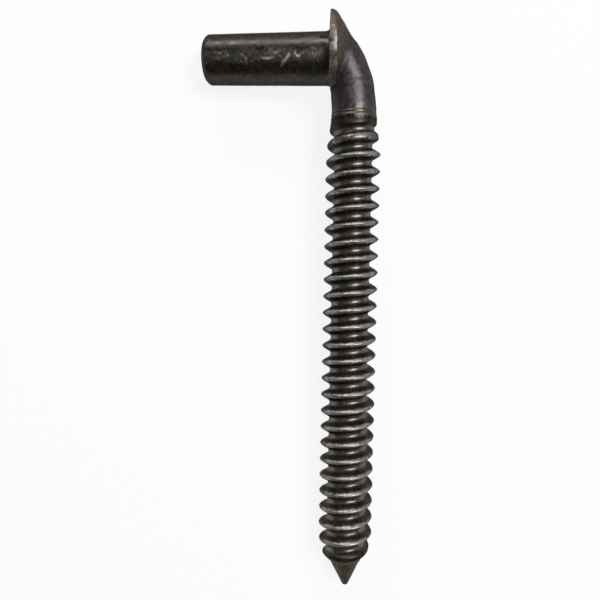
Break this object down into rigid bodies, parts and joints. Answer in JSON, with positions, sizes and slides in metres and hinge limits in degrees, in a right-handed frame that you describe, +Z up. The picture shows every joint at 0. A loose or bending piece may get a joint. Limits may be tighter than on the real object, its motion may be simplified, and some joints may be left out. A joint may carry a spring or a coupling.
{
  "type": "lag hinge pin",
  "caption": "Right-angled lag hinge pin: a plain round pin with an upset flange, a tight forged bend and a long wood-screw shank with a cone point.",
  "frame": {"origin": "where the pin's axis meets the flange's bearing face", "axes": "+Z up from the surface that the part lies on, +Y along the shank's length, away from its point, +X away from the pin's free end"},
  "size_m": [0.0541, 0.177, 0.0236],
  "materials": {
    "blackened_steel": "dark mill scale and black oxide, worn bright on the thread's crests and the flange's rim"
  },
  "bodies": {
    "root": {"hinge_pin": "blackened_steel"}
  },
  "joints": []
}
